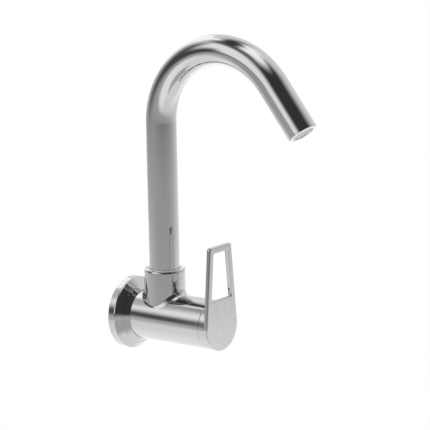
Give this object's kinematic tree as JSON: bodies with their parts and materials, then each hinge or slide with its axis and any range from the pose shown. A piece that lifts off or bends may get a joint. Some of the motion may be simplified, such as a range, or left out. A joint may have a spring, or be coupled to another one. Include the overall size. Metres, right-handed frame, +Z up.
{
  "type": "wall-mounted sink tap",
  "caption": "Chromed wall-mounted sink tap: horizontal barrel on a round wall flange, windowed quarter-turn lever and a tall swivel spout with a round bend.",
  "frame": {"origin": "where the inlet axis meets the wall plane, at the centre of the flange's back face", "axes": "+Z up, +Y into the wall, the tap stands out along -Y, +X to the right seen from the front"},
  "size_m": [0.06, 0.2042, 0.2705],
  "materials": {
    "chrome": "polished chrome plate on brass",
    "brass": "plain turned brass",
    "steel": "plain stainless steel",
    "rubber": "matt black rubber",
    "bearing_plastic": "natural white plastic",
    "aerator_plastic": "pale grey moulded plastic",
    "ceramic": "lapped white ceramic"
  },
  "bodies": {
    "body": {"tap_body": "chrome", "wall_flange": "chrome", "headwork_housing": "brass", "headwork_gasket": "rubber", "seat_seal": "rubber", "fixed_disc": "ceramic", "thrust_washer": "bearing_plastic", "swivel_bush": "bearing_plastic", "spout_retaining_screw": "steel"},
    "lever": {"lever_handle": "chrome", "spline_bush": "bearing_plastic", "handle_screw": "steel", "spindle": "brass", "moving_disc": "ceramic", "spindle_o_rings": "rubber", "spindle_clip": "steel"},
    "spout": {"spout_tube": "chrome", "spout_spigot": "brass", "spout_o_rings": "rubber", "outlet_bush": "brass", "aerator_washer": "rubber", "aerator_screen": "steel", "aerator_insert": "aerator_plastic", "aerator_housing": "chrome"}
  },
  "joints": [
    {"name": "lever_turn", "type": "hinge", "parent": "body", "child": "lever", "pos_m": [0, 0, 0], "axis": [0, -1, 0], "range_deg": [0, 90]},
    {"name": "spout_swivel", "type": "hinge", "parent": "body", "child": "spout", "pos_m": [0, -0.037, 0], "axis": [0, 0, 1], "range_deg": [-95, 95]}
  ]
}
